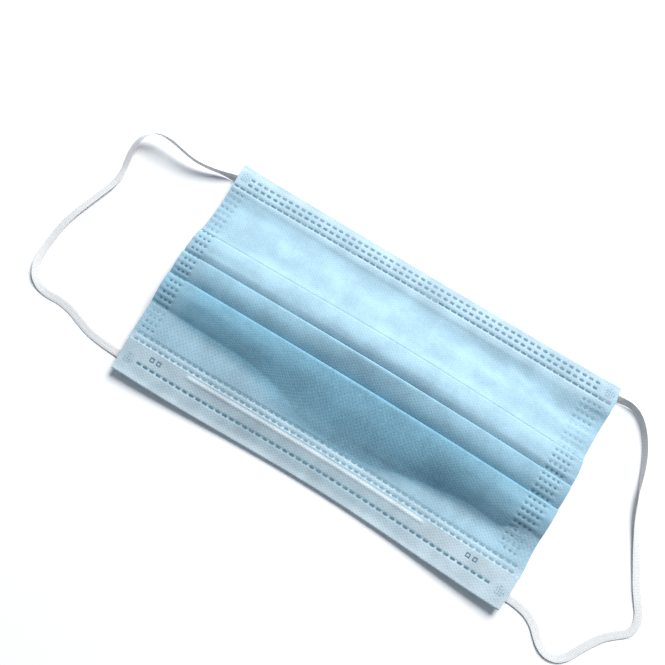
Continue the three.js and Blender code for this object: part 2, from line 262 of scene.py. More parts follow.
# Round spot welds over the ends of the loops, and the pairs of square weld points on the nose hem
CORNER_SPOTS = ((-0.0843, 0.0440), (0.0843, 0.0446), (-0.0840, -0.0426), (0.0852, -0.0429))
CORNER_SPOT = {"across": 0.0050, "pitch": 0.00100, "dot": (0.00045, 0.00045), "press": 0.4}
SQUARE_POINTS = ((-0.0751, -0.0383), (-0.0720, -0.0383), (0.0686, -0.0378), (0.0717, -0.0378))
SQUARE_POINT = {"across": 0.0019, "bar": 0.00042}

# Centre lines of the ear loops, with the roll of the flat strap in degrees: it lies flat at 0 and 180 and
# stands on edge at 90
LEFT_LOOP = (
    (-0.0805, 0.0430, 0.0008, 0), (-0.0845, 0.0429, 0.00125, 10), (-0.0890, 0.0423, 0.0017, 45),
    (-0.0942, 0.0413, 0.0024, 76), (-0.1000, 0.0401, 0.0033, 82), (-0.1060, 0.0396, 0.0043, 82),
    (-0.1120, 0.0403, 0.0053, 80), (-0.1178, 0.0412, 0.0060, 82), (-0.1232, 0.0410, 0.0059, 98),
    (-0.1277, 0.0389, 0.0048, 128), (-0.1303, 0.0350, 0.0033, 144), (-0.1308, 0.0302, 0.0020, 152),
    (-0.1301, 0.0252, 0.0013, 156), (-0.1294, 0.0200, 0.0008, 158), (-0.1299, 0.0146, 0.0006, 158),
    (-0.1318, 0.0088, 0.0006, 158), (-0.1340, 0.0026, 0.0006, 160), (-0.1362, -0.0038, 0.0006, 164),
    (-0.1378, -0.0104, 0.0006, 170), (-0.1384, -0.0172, 0.0006, 178), (-0.1385, -0.0240, 0.0006, 192),
    (-0.1377, -0.0294, 0.0006, 202), (-0.1354, -0.0338, 0.0006, 200), (-0.1316, -0.0366, 0.0006, 188),
    (-0.1268, -0.0376, 0.0006, 180), (-0.1216, -0.0375, 0.0006, 177), (-0.1156, -0.0382, 0.0006, 177),
    (-0.1094, -0.0402, 0.0006, 177), (-0.1036, -0.0419, 0.0006, 177), (-0.0976, -0.0426, 0.00065, 178),
    (-0.0918, -0.0428, 0.00075, 180), (-0.0865, -0.0429, 0.0008, 180), (-0.0805, -0.0429, 0.0007, 180),
)
RIGHT_LOOP = (
    (0.0805, 0.0448, 0.0008, 0), (0.0845, 0.0449, 0.00125, -10), (0.0890, 0.0451, 0.0017, -35),
    (0.0936, 0.0454, 0.0018, -50), (0.0974, 0.0444, 0.0017, -56), (0.1006, 0.0422, 0.0016, -60),
    (0.1032, 0.0394, 0.0015, -60), (0.1054, 0.0362, 0.0014, -58), (0.1074, 0.0326, 0.0014, -58),
    (0.1092, 0.0284, 0.0014, -62), (0.1109, 0.0236, 0.0014, -72), (0.1126, 0.0186, 0.0013, -92),
    (0.1148, 0.0136, 0.0011, -116), (0.1174, 0.0084, 0.0009, -140), (0.1206, 0.0024, 0.0007, -156),
    (0.1239, -0.0038, 0.0006, -164), (0.1270, -0.0094, 0.0006, -168), (0.1298, -0.0144, 0.0006, -170),
    (0.1326, -0.0186, 0.0006, -172), (0.1350, -0.0223, 0.0006, -176), (0.1362, -0.0264, 0.0006, -180),
    (0.1351, -0.0303, 0.0006, -182), (0.1319, -0.0332, 0.0006, -182), (0.1282, -0.0366, 0.0006, -182),
    (0.1248, -0.0412, 0.0006, -184), (0.1218, -0.0464, 0.0006, -184), (0.1195, -0.0503, 0.0006, -186),
    (0.1167, -0.0527, 0.0006, -188), (0.1132, -0.0534, 0.0006, -190), (0.1097, -0.0524, 0.0006, -190),
    (0.1066, -0.0500, 0.0006, -188), (0.1034, -0.0470, 0.0006, -186), (0.0992, -0.0446, 0.00065, -184),
    (0.0944, -0.0435, 0.0007, -182), (0.0900, -0.0432, 0.00075, -180), (0.0860, -0.0432, 0.0008, -180),
    (0.0805, -0.0431, 0.0007, -180),
)
# The strap is thinner than its solid, so it lies lower, and just clear of the floor
LOOP_SETTLE = 0.32 * MM
FLOOR_CLEARANCE = 0.05 * MM
STRAP_SECTION = {"width_power": 0.62, "thickness_power": 0.55, "rib": 0.14, "stitch": 0.10}

# Columns of the cloth: over the welds at the left, between them, and over the welds at the right. The back
# has every sixth column
COLUMN_ZONES = ((-HALF_WIDTH, -76 * MM, 34), (-76 * MM, 75 * MM, 250), (75 * MM, HALF_WIDTH, 37))
BACK_STRIDE = 6

# Rows of points in each stretch of the cloth, rings and points around of the strap and the wire, steps of
# the strap's curve from one route point to the next
ROWS = {
    "chin_back": 5, "chin_edge": 5, "chin_front": 27, "first_panel": 42, "first_groove": 5,
    "pleat_hidden": 4, "pleat_edge": 6, "panel": 24, "last_panel": 40, "last_flat": 16,
    "seam": 13, "margin": 5, "hem_front": 50, "hem_edge": 9, "hem_back": 12,
}
STRAP_GRID = (640, 40)
WIRE_GRID = (80, 16)
CURVE_STEPS = 24

KEY_DISTANCE = 2.0
FLOOR_REACH = 2.0


def length_setting(name, description, default, low, high):
    """A length that a user would change, with its numbers in millimetres."""
    return bpy.props.FloatProperty(
        name=name, description=description, default=default * MM, min=low * MM, max=high * MM,
        precision=5, unit="LENGTH",
    )


def colour_setting(name, description, default):
    """A colour that a user would change."""
    return bpy.props.FloatVectorProperty(
        name=name, description=description, default=default, size=3, min=0, max=1, subtype="COLOR",
    )


class ClothSizes(bpy.types.PropertyGroup):
    """Sizes of the mask's cloth."""

    thickness: length_setting("Thickness", "All the plies together", 0.4, 0.2, 1.0)
    layer_gap: length_setting("Hem Layer Spacing", "From one layer of a hem to the next", 0.5, 0.3, 1.5)
    nose_bow: length_setting(
        "Nose Edge Bow", "How far the nose edge bends in at its middle", 2.0, 0.0, 5.0,
    )
    chin_turn_under: length_setting(
        "Chin Turn Under", "Width of the chin edge that is turned under", 11.4, 4.0, 20.0,
    )
    nose_hem_front: length_setting(
        "Nose Hem Front", "Width of the pale band over the nose edge, in front", 14.2, 8.0, 20.0,
    )
    nose_hem_back: length_setting(
        "Nose Hem Back", "Width of the pale band behind the nose edge", 12.0, 5.0, 20.0,
    )
    wire_y: length_setting("Wire Place", "Y of the nose wire at the ends of the mask", -36.8, -44.0, -36.0)
    wire_width: length_setting("Wire Width", "Width of the flat nose wire", 1.6, 1.0, 6.0)
    wire_thickness: length_setting(
        "Wire Thickness", "Thickness of the flat nose wire with its coating", 0.35, 0.2, 1.5,
    )
    ridge: length_setting("Wire Ridge", "How far the wire pushes the nose hem up", 0.24, 0.0, 1.5)


class WeldSizes(bpy.types.PropertyGroup):
    """Sizes of the pressed weld marks."""

    recess: length_setting("Recess", "How deep a weld presses the cloth in", 0.13, 0.0, 0.4)
    film: length_setting("Film", "Thickness of the fused film in a weld", 0.14, 0.02, 0.4)
    proud: length_setting("Proud", "How far the film stands out of its pressed place", 0.1, 0.0, 0.4)
    corner: bpy.props.FloatProperty(
        name="Corner", description="Rounding of a weld's corners, as a share of its width",
        default=0.3, min=0.05, max=0.5, subtype="FACTOR",
    )


class LoopSizes(bpy.types.PropertyGroup):
    """Sizes of the elastic ear loops."""

    width: length_setting("Width", "Width of the flat strap", 3.2, 1.0, 8.0)
    thickness: length_setting("Thickness", "Thickness of the flat strap", 0.32, 0.2, 3.0)
    wales: bpy.props.IntProperty(
        name="Wales", description="Knitted ribs across the strap", default=4, min=1, max=10,
    )
    course: length_setting("Course", "Length of one knitted stitch", 0.9, 0.3, 3.0)


class Finish(bpy.types.PropertyGroup):
    """Colours of the mask."""

    blue_thin: colour_setting("Blue Cloth", "Single layer of the blue cloth", (0.325, 0.49, 0.585))
    # Blue Layers also gives the painted shade that deepens towards each panel's crease
    blue_layers_and_shade: colour_setting(
        "Blue Layers", "Blue cloth where the layers of a pleat lie on each other", (0.172, 0.380, 0.500),
    )
    pale: colour_setting("Nose Hem", "White ply over the blue cloth", (0.40, 0.515, 0.575))
    # Whitened cloth: the body along the nose hem, and painted highlight on the chin hem, the nose hem's
    # ends and edge and along the wire ridge, where the wire also shows through
    white_and_highlight: colour_setting(
        "Hem Edges", "Pale layers along the hems' edges and over the wire", (0.76, 0.85, 0.88),
    )
    inside: colour_setting("Inside", "White inner ply", (0.68, 0.70, 0.71))
    weld: colour_setting("Deep Welds", "Film of the deep welds", (0.10, 0.225, 0.295))
    weld_faint: colour_setting("Faint Welds", "Film of the welds through few layers", (0.20, 0.36, 0.45))
    elastic: colour_setting("Elastic", "Knitted ear loops", (0.745, 0.745, 0.74))
    wire: colour_setting("Wire", "Coating of the nose wire", (0.82, 0.83, 0.82))
    floor: colour_setting("Floor", "Surface that the mask lies on", (0.95, 0.95, 0.95))


class StageLight(bpy.types.PropertyGroup):
    """Light on the mask."""

    key_azimuth: bpy.props.FloatProperty(
        name="Key Azimuth", description="Where the key light stands, turned from +Y towards +X",
        default=math.radians(6), subtype="ANGLE",
    )
    key_elevation: bpy.props.FloatProperty(
        name="Key Elevation", description="Height of the key light above the floor",
        default=math.radians(38), subtype="ANGLE",
    )
    key_watts: bpy.props.FloatProperty(
        name="Key Power", description="Power of the key light in watts", default=70.0, min=0.0,
    )
    key_size: bpy.props.FloatProperty(
        name="Key Size", description="Width of the round key light", default=1.2, min=0.1, unit="LENGTH",
    )
    sky: bpy.props.FloatProperty(
        name="Sky", description="Strength of the even light from all round", default=0.28, min=0.0,
    )
    sky_tint: colour_setting("Sky Tint", "Colour of the even light", (0.70, 0.84, 1.0))


# Curves through tables

def smooth_through(knots, values, at):
    """Values at `at` of a smooth curve that never overshoots its knots. Knots run down the rows."""
    knots, values = np.broadcast_arrays(knots, values, np.empty((len(knots), len(at))))[:2]
    run = np.diff(knots, axis=0)
    slope = np.diff(values, axis=0) / run
    product = slope[:-1] * slope[1:]
    total = np.where(product > 0, slope[:-1] + slope[1:], 1.0)
    tangent = np.zeros(values.shape)
    tangent[1:-1] = np.where(product > 0, 2 * product / total, 0.0)
    index = (at > knots[1:-1]).sum(axis=0)[None]

    def pick(rows, step=0):
        return np.take_along_axis(rows, index + step, axis=0)[0]

    width = pick(run)
    share = np.clip((at - pick(knots)) / width, 0, 1)
    ease = share * share * (3 - 2 * share)
    rise = pick(values) + (pick(values, 1) - pick(values)) * ease
    bend = share * (1 - share) ** 2 * pick(tangent) - share ** 2 * (1 - share) * pick(tangent, 1)
    return rise + bend * width


def table_column(rows, name):
    """One named column of a table, as a column of knots."""
    return np.array([row[name] for row in rows], float)[:, None]


def section_at(name, x):
    """One column of the table of sections, at each x."""
    return smooth_through(table_column(SECTIONS, "x"), table_column(SECTIONS, name), x)


def soft_step(value, low, high):
    """0 below low, 1 above high, smooth between them."""
    share = np.clip((value - low) / (high - low), 0, 1)
    return share * share * (3 - 2 * share)


# The form of the mask

class MaskForm:
    """Heights and places of the cloth along the columns x."""

    def __init__(self, x, cloth):
        self.x = x
        self.cloth = cloth
        self.ground = cloth.thickness / 2 + cloth.layer_gap
        fullness = section_at("fullness", x)
        crown = section_at("crown", x)
        chin = section_at("chin_lift", x)
        nose = section_at("nose_lift", x)
        self.foot = section_at("foot", x)
        self.drop = section_at("drop", x)
        self.soft = section_at("soft", x)
        self.fade = section_at("fade", x)
        rows = PROFILE[::-1]
        self.knots = table_column(rows, "y")
        stations = np.array(PROFILE_STATIONS)[:, None]
        heights = []
        for row in rows:
            height = smooth_through(stations, np.array(row["height"])[:, None], x) * fullness
            heights.append(height + row["crown"] * crown + row["chin"] * chin + row["nose"] * nose)
        self.heights = self.ground + np.array(heights)

    def height(self, y):
        """Height of the lowest layer at (x, y)."""
        height = smooth_through(self.knots, self.heights, y)
        for dent in DENTS:
            turn = math.radians(dent["turn"])
            dx, dy = self.x - dent["x"], y - dent["y"]
            along = (dx * math.cos(turn) + dy * math.sin(turn)) / dent["along"]
            across = (dy * math.cos(turn) - dx * math.sin(turn)) / dent["across"]
            height = height + dent["height"] * np.exp(-along ** 2 - across ** 2)
        return height

    def place(self, y, lift, step=0.0):
        """Points of one row of cloth, `lift` above the lowest layer and `step` further out at the sides."""
        bowed = bow(self.x, y, self.cloth.nose_bow)
        lines = table_column(SIDE_LINES, "y")
        left = smooth_through(lines, table_column(SIDE_LINES, "left"), y)
        right = smooth_through(lines, table_column(SIDE_LINES, "right"), y)
        out = (np.where(self.x < 0, left, right) + step) * (self.x / HALF_WIDTH) ** SIDE_POWER
        return np.stack([self.x + out, bowed, self.height(y) + lift], axis=-1)


def bow(x, y, depth):
    """Y in the finished mask of a line that is cut straight at y. The chin edge doesn't bow."""
    share = np.clip((CHIN_EDGE_Y - y) / (CHIN_EDGE_Y - NOSE_EDGE_Y), 0, 1)
    inward = np.cos(math.pi / 2 * np.clip((x - BOW_CENTRE) / BOW_REACH, -1, 1)) ** 2
    folds = np.interp(y, [row["y"] for row in FOLD_BOWS], [row["depth"] for row in FOLD_BOWS])
    return y + inward * (depth * share ** 3 + folds)


class ClothRows:
    """Rows of points across a sheet of cloth, from one raw edge to the other, with their paint.

    A paint is a share from 0 to 1, or a function of y that gives it.
    """

    def __init__(self, form):
        self.form = form
        self.points = []
        self.shown = []
        # The first paint darkens the blue where layers show through, and is painted shade towards each
        # panel's crease and the nose hem's middle; the second whitens the cloth, partly as painted
        # highlight
        self.paints = {"layers_and_shade": [], "pale": []}

    def add(self, y, lift, shown=False, step=0.0, **paints):
        """One row at y, lifted off the lowest layer."""
        y = np.broadcast_to(y, self.form.x.shape)
        self.points.append(self.form.place(y, lift, step))
        self.shown.append(shown)
        for name, rows in self.paints.items():
            paint = paints.get(name, 0.0)
            rows.append(np.broadcast_to(paint(y) if callable(paint) else paint, y.shape))

    def run(self, start, end, lift, count, **look):
        """A flat stretch from start to end."""
        for share in np.linspace(0, 1, count):
            self.add(start + (end - start) * share, lift, **look)

    def dip(self, start, end, lift_start, lift_end, count, bend=1.0, soft=0.0, swell=0.0, **look):
        """A stretch that changes its layer: late, by a power, or in a smooth S as far as it is soft."""
        for share in np.linspace(0, 1, count + 2)[1:-1]:
            ease = (1 - soft) * share ** bend + soft * share * share * (3 - 2 * share)
            lift = lift_start + (lift_end - lift_start) * ease + swell * 4 * share * (1 - share)
            self.add(start + (end - start) * share, lift, **look)

    def fold(self, centre, side, lift_start, lift_end, count, **look):
        """A half turn round a fold that points to side."""
        middle = (lift_start + lift_end) / 2
        half = (lift_end - lift_start) / 2
        for angle in np.linspace(0, math.pi, count + 2)[1:-1]:
            reach = side * np.abs(half) * math.sin(angle)
            self.add(centre + reach, middle - half * math.cos(angle), **look)


def side_to_middle(pair, x):
    """A value that goes from the first of the pair at the sides to the second in the middle."""
    side, middle = pair
    return side + (middle - side) * np.exp(-(x / FOLDS_OPEN_REACH) ** 2)


def faded(value, stretch):
    """A share that comes in over a stretch of the value."""
    share, low, high = stretch
    return share * soft_step(value, low, high)


def chin_highlight(y):
    """Painted highlight on the chin hem, which is whitest along its edge."""
    return sum(faded(y, stretch) for stretch in CHIN_HIGHLIGHT)


def seam_paint(y):
    """White of the body along the nose hem."""
    return faded(-y, SEAM_WHITE)


def welded_end_share(x):
    """How much the layers show through along the width: less where the pleat ends are welded."""
    return 1 - faded(np.abs(x), WELDED_ENDS)


def last_panel_paint(form):
    """How much the layers show through the last panel: less low down and at the right end."""
    share = welded_end_share(form.x) * (1 - faded(form.x, RIGHT_END))

    def paint(y):
        low = 1 - faded(-y, LOW_PANEL)
        return share * low * soft_step(y, form.foot - form.fade, form.foot)

    return paint


def panel_paint(form, pleat, end):
    """How dark blue a panel is, from its fold down to its end: the layers that show through, and painted
    shade that deepens towards its end under the next fold.
    """
    top, bottom = pleat["dense_and_shade"]

    def paint(y):
        share = np.clip((pleat["edge"] - y) / (pleat["edge"] - end), 0, 1)
        return welded_end_share(form.x) * (top + (bottom - top) * share ** 3)

    return paint


def body_rows(form):
    """The blue body from the raw edge under the chin hem to its margin inside the nose hem."""
    cloth = form.cloth
    rows = ClothRows(form)
    half = cloth.thickness / 2
    hem = cloth.layer_gap
    chin_centre = CHIN_EDGE_Y - half - hem / 2
    hem_line = CHIN_EDGE_Y - cloth.chin_turn_under
    rows.run(hem_line, chin_centre, -hem, ROWS["chin_back"])
    # Painted highlight over the chin hem
    white = {"shown": True, "pale": chin_highlight}
    rows.fold(chin_centre, 1, -hem, 0.0, ROWS["chin_edge"], **white)
    rows.run(chin_centre, hem_line, 0.0, ROWS["chin_front"], **white)
    top = 0.5 * side_to_middle(PLEATS[0]["pitch"], form.x)
    groove = PLEATS[0]["edge"] + FIRST_GROOVE
    start = PLEATS[0]["edge"] + FOLD_TUCK
    rows.dip(hem_line, groove, 0.0, top, ROWS["first_panel"], soft=1.0, **white)
    rows.dip(groove, start, top, 0.0, ROWS["first_groove"], bend=2, shown=True)
    for index, pleat in enumerate(PLEATS):
        pitch = side_to_middle(pleat["pitch"], form.x)
        swell = side_to_middle(pleat["swell"], form.x)
        turn_centre = pleat["turn"] + half + pitch / 2
        edge_centre = pleat["edge"] - half - pitch / 2
        last = index + 1 == len(PLEATS)
        end = form.foot if last else PLEATS[index + 1]["edge"] + FOLD_TUCK
        hidden = {"layers_and_shade": pleat["dense_and_shade"][0], "step": index * PLEAT_STEP}
        paint = panel_paint(form, pleat, end)
        shown = {"layers_and_shade": paint, "step": (index + 1) * PLEAT_STEP, "shown": True}
        rows.run(start, turn_centre, 0.0, ROWS["pleat_hidden"], **hidden)
        rows.fold(turn_centre, -1, 0.0, pitch, ROWS["pleat_hidden"], **hidden)
        rows.run(turn_centre, edge_centre, pitch, ROWS["pleat_hidden"], **hidden)
        rows.fold(edge_centre, 1, pitch, 2 * pitch, ROWS["pleat_edge"], **shown)
        if last:
            shown["layers_and_shade"] = last_panel_paint(form)
            bends = {"bend": form.drop, "soft": form.soft, "swell": swell}
            rows.dip(edge_centre, end, 2 * pitch, 0.0, ROWS["last_panel"], **bends, **shown)
        else:
            bends = {"bend": side_to_middle(pleat["bend"], form.x), "swell": swell}
            rows.dip(edge_centre, end, 2 * pitch, 0.0, ROWS["panel"], **bends, **shown)
        start = end
    rows.run(start, PANEL_END, 0.0, ROWS["last_flat"], pale=seam_paint, **shown)
    layers_and_shade = shown["layers_and_shade"]
    shown["layers_and_shade"] = lambda y: layers_and_shade(y) * soft_step(y, *SEAM_FADE)
    rows.run(*SEAM, 0.0, ROWS["seam"], pale=seam_paint, **shown)
    rows.run(*MARGIN, 0.0, ROWS["margin"])
    return rows


def wire_ridge(x, y, cloth):
    """How far a point of the nose hem is over the wire: 1 on its middle, 0 off it."""
    past = np.maximum(np.maximum(WIRE_START - x, x - WIRE_END), 0)
    ends = np.exp(-(past / RIDGE["ends"]) ** 2)
    off = np.abs((y - cloth.wire_y) / (RIDGE["sides"] * cloth.wire_width))
    return ends * np.exp(-off ** RIDGE["power"])


def hem_rows(form):
    """The pale nose hem from its raw edge in front, over the wire and round the nose edge to the back."""
    cloth = form.cloth
    rows = ClothRows(form)
    layer = cloth.layer_gap
    centre = NOSE_EDGE_Y + cloth.thickness / 2 + layer
    # Painted shade, darker towards the hem's middle
    dense_and_shade = HEM_MIDDLE_SHADE["share"] * np.exp(-((form.x - HEM_MIDDLE_SHADE["centre"]) / HEM_MIDDLE_SHADE["reach"]) ** 2)
    # Painted highlight, whiter towards the hem's ends
    white = faded(form.x, HEM_HIGHLIGHT_RIGHT) + faded(-form.x, HEM_HIGHLIGHT_LEFT)
    for y in np.linspace(NOSE_EDGE_Y + cloth.nose_hem_front, centre, ROWS["hem_front"]):
        ridge = wire_ridge(form.x, y, cloth)
        # Painted highlight along the folded nose edge
        edge = faded(-y, HEM_EDGE_HIGHLIGHT)
        # Whiter over the wire, which shows through, with a painted highlight along the ridge
        pale = np.maximum(np.maximum(RIDGE["white"] * ridge, edge), white)
        rows.add(y, layer + cloth.ridge * ridge, shown=True, layers_and_shade=dense_and_shade, pale=pale)
    # The folded edge carries the painted highlight in full
    look = {"shown": True, "layers_and_shade": dense_and_shade, "pale": HEM_EDGE_HIGHLIGHT[0]}
    rows.fold(centre, -1, layer, -layer, ROWS["hem_edge"], **look)
    rows.run(centre, NOSE_EDGE_Y + cloth.nose_hem_back, -layer, ROWS["hem_back"])
    return rows


# Meshes

def grid_normals(points):
    """Unit normals of a grid of points, on the side that faces up where its rows run to -Y."""
    across = np.gradient(points, axis=0)
    along = np.gradient(points, axis=1)
    normal = np.cross(across, along)
    return normal / np.linalg.norm(normal, axis=-1, keepdims=True)


def wall_faces(rows, columns, stride):
    """Faces of a closed wall: a fine front grid and a back grid with every stride-th column."""
    back_columns = (columns - 1) // stride + 1
    back = rows * columns
    faces = []
    kinds = []

    def add(face, kind):
        faces.append(face)
        kinds.append(kind)

    for r in range(rows - 1):
        for c in range(columns - 1):
            a = r * columns + c
            add((a, a + columns, a + columns + 1, a + 1), 0)
        for c in range(back_columns - 1):
            a = back + r * back_columns + c
            add((a, a + 1, a + back_columns + 1, a + back_columns), 1)
        near = r * columns
        near_back = back + r * back_columns
        add((near, near_back, near_back + back_columns, near + columns), 1)
        far = near + columns - 1
        far_back = near_back + back_columns - 1
        add((far, far + columns, far_back + back_columns, far_back), 1)
    last = (rows - 1) * columns
    last_back = back + (rows - 1) * back_columns
    for c in range(back_columns - 1):
        edge = range(c * stride, (c + 1) * stride + 1)
        add((*edge, back + c + 1, back + c), 1)
        add((last_back + c, last_back + c + 1, *(last + i for i in reversed(edge))), 1)
    return faces, kinds


def tube_faces(rings, around):
    """Faces of a closed tube, with its rings in turn."""
    faces = []
    for r in range(rings - 1):
        for c in range(around):
            a = r * around + c
            b = r * around + (c + 1) % around
            faces.append((a, a + around, b + around, b))
    faces.append(tuple(range(around)))
    faces.append(tuple(reversed(range((rings - 1) * around, rings * around))))
    return faces


def mesh_object(name, points, faces, materials, kinds=None, uv=None, attributes=None):
    """A smooth mesh object with its materials, UV map and point attributes."""
    mesh = bpy.data.meshes.new(name)
    mesh.from_pydata(np.asarray(points).tolist(), [], faces)
    for material in materials:
        mesh.materials.append(material)
    mesh.polygons.foreach_set("use_smooth", np.ones(len(faces), bool))
    if kinds is not None:
        mesh.polygons.foreach_set("material_index", np.asarray(kinds, np.int32))
    if uv is not None:
        corners = np.empty(len(mesh.loops), np.int32)
        mesh.loops.foreach_get("vertex_index", corners)
        layer = mesh.uv_layers.new(name="cloth")
        layer.data.foreach_set("uv", np.asarray(uv, np.float32)[corners].ravel())
    for key, values in (attributes or {}).items():
        attribute = mesh.attributes.new(key, "FLOAT", "POINT")
        attribute.data.foreach_set("value", np.asarray(values, np.float32))
    mesh.set_sharp_from_angle(angle=math.radians(55))
    mesh.validate()
    mesh.update()
    obj = bpy.data.objects.new(name, mesh)
    bpy.context.scene.collection.objects.link(obj)
    return obj


def dash_share(x, y, marks):
    """How far each point is inside a weld mark: 1 on its flat, 0 outside."""
    share = np.zeros(x.shape)
    for weld in marks:
        dx, dy = x - weld["place"][0], y - weld["place"][1]
        long, wide = weld["dash"]
        near = (np.abs(dx) < long) & (np.abs(dy) < wide)
        if weld["round"]:
            off = np.hypot(dx[near], dy[near])
            inside = np.clip((long / 2 + PRESS["round"] - off) / PRESS["slope"], 0, 1)
        else:
            along = np.clip((long / 2 + PRESS["dash"] - np.abs(dx[near])) / PRESS["slope"], 0, 1)
            inside = along * np.clip((wide / 2 + PRESS["dash"] - np.abs(dy[near])) / PRESS["slope"], 0, 1)
        share[near] = np.maximum(share[near], weld["press"] * inside)
    return share


def row_line(row, x):
    """Y of a row at x, before the mask's bow."""
    return row["y"] + row["slant"] * x - row["arch"] * x ** 2


def groove_depth(x, y, grooves, bow_depth):
    """Depth of the soft grooves that the weld rollers leave along X."""
    depth = np.zeros(x.shape)
    for groove in grooves:
        line = bow(x, row_line(groove, x), bow_depth)
        start, end = groove["start"], groove["end"]
        along = soft_step(x, start - GROOVE_END, start) * soft_step(-x, -end - GROOVE_END, -end)
        across = np.exp(-((y - line) / GROOVE_REACH) ** 4)
        depth = np.maximum(depth, groove["groove"] * along * across)
    return depth


def cloth_wall(name, rows, marks, grooves, recess, materials):
    """A closed wall of cloth from its rows, pressed in at the weld marks and along the grooves."""
    form = rows.form
    stride = BACK_STRIDE
    centre = np.array(rows.points)
    normal = grid_normals(centre)
    half = form.cloth.thickness / 2
    shown = np.array(rows.shown)[:, None]
    x, y = centre[..., 0], centre[..., 1]
    pressed = dash_share(x, y, marks) * shown
    sunk = groove_depth(x, y, grooves, form.cloth.nose_bow) * shown
    front = centre + normal * (half - recess * pressed - sunk)[..., None]
    back = (centre - normal * half)[:, ::stride]
    steps = np.linalg.norm(np.diff(centre, axis=0), axis=-1).mean(axis=1)
    path = np.concatenate([[0.0], np.cumsum(steps)])
    uv = np.stack(np.broadcast_arrays(form.x[None, :], path[:, None]), axis=-1)
    count, columns = pressed.shape
    faces, kinds = wall_faces(count, columns, stride)
    both = [front.reshape(-1, 3), back.reshape(-1, 3)]
    uvs = [uv.reshape(-1, 2), uv[:, ::stride].reshape(-1, 2)]
    attributes = {"pressed": np.concatenate([pressed.ravel(), np.zeros(count * back.shape[1])])}
    for paint, values in rows.paints.items():
        values = np.array(values)
        attributes[paint] = np.concatenate([values.ravel(), values[:, ::stride].ravel()])
    obj = mesh_object(
        name, np.concatenate(both), faces, materials, kinds, np.concatenate(uvs), attributes,
    )
    return obj, path[-1]


def cloth_columns():
    """X of the cloth's columns, closer together over the side welds."""
    left, middle, right = (np.linspace(*zone) for zone in COLUMN_ZONES)
    return np.concatenate([left, middle[1:-1], right])


# Weld marks

def mark(x, y, dash, bow_depth, faint=False, rounded=False, press=1.0):
    """One weld mark in plan."""
    place = (x, bow(x, y, bow_depth))
    return {"place": place, "dash": dash, "faint": faint, "round": rounded, "press": press}


def weld_rows(*hems):
    """The rows of dashes along these hems, which are grooves as well."""
    return [row for row in WELD_ROWS if row["hem"] in hems]


def row_marks(hem, bow_depth):
    """The dashes of one hem's rows."""
    marks = []
    for row in weld_rows(hem):
        count = int((row["end"] - row["start"]) / row["pitch"]) + 1
        for index in range(count):
            x = row["start"] + index * row["pitch"]
            marks.append(mark(x, row_line(row, x), row["dash"], bow_depth, faint=hem == "seam"))
    return marks


def column_rows(side):
    """Y of each row of dots at one side, and whether it is deep."""
    places = [side["first"] - index * WELD_COLUMN_PITCH for index in range(WELD_COLUMN_ROWS)]
    return [(y, DEEP_WELD_BOTTOM < y < DEEP_WELD_TOP) for y in places]


def column_marks(deep, bow_depth):
    """The deep or the faint dots that hold the pleat ends at both sides."""
    marks = []
    for side in WELD_COLUMNS:
        for y in (y for y, is_deep in column_rows(side) if is_deep == deep):
            marks += [mark(x, y, WELD_COLUMN_DOT, bow_depth, faint=not deep) for x in side["x"]]
    return marks


def column_grooves():
    """The grooves that the rows of dots lie in."""
    grooves = []
    for side in WELD_COLUMNS:
        for y, deep in column_rows(side):
            depth = DEEP_GROOVE if deep else FAINT_GROOVE
            start, end = side["zone"]
            grooves.append({"y": y, "slant": 0.0, "arch": 0.0, "start": start, "end": end, "groove": depth})
    return grooves


def corner_spots(on_nose):
    """The places of the round spots, on the nose hem or on the body."""
    return [(x, y) for x, y in CORNER_SPOTS if (y < 0) == on_nose]


def spot_marks(on_nose, bow_depth):
    """The round spots over the ends of the loops."""
    across = (CORNER_SPOT["across"],) * 2
    look = {"faint": True, "rounded": True, "press": CORNER_SPOT["press"]}
    return [mark(x, y, across, bow_depth, **look) for x, y in corner_spots(on_nose)]


def spot_dots(on_nose, bow_depth):
    """The small dots inside the round spots."""
    marks = []
    reach = CORNER_SPOT["across"] / 2 - CORNER_SPOT["dot"][0]
    steps = np.arange(-reach, reach + MM, CORNER_SPOT["pitch"])
    for x, y in corner_spots(on_nose):
        for dx in steps:
            for dy in steps:
                if math.hypot(dx, dy) < reach:
                    marks.append(mark(x + dx, y + dy, CORNER_SPOT["dot"], bow_depth, faint=True))
    return marks


def square_marks(bow_depth):
    """The plain hollow squares on the nose hem, four bars each."""
    marks = []
    across, bar = SQUARE_POINT["across"], SQUARE_POINT["bar"]
    reach = (across - bar) / 2
    for x, y in SQUARE_POINTS:
        for sign in (-1, 1):
            marks.append(mark(x, y + sign * reach, (across, bar), bow_depth))
            marks.append(mark(x + sign * reach, y, (bar, across - 2 * bar), bow_depth))
    return marks


def node(tree, kind, inputs=None, **settings):
    """A node with its settings and the values or links of its inputs."""
    made = tree.nodes.new(kind)
    for name, value in settings.items():
        setattr(made, name, value)
    for key, value in (inputs or {}).items():
        socket = made.inputs[key]
        if isinstance(value, bpy.types.NodeSocket):
            tree.links.new(value, socket)
        else:
            socket.default_value = value
    return made


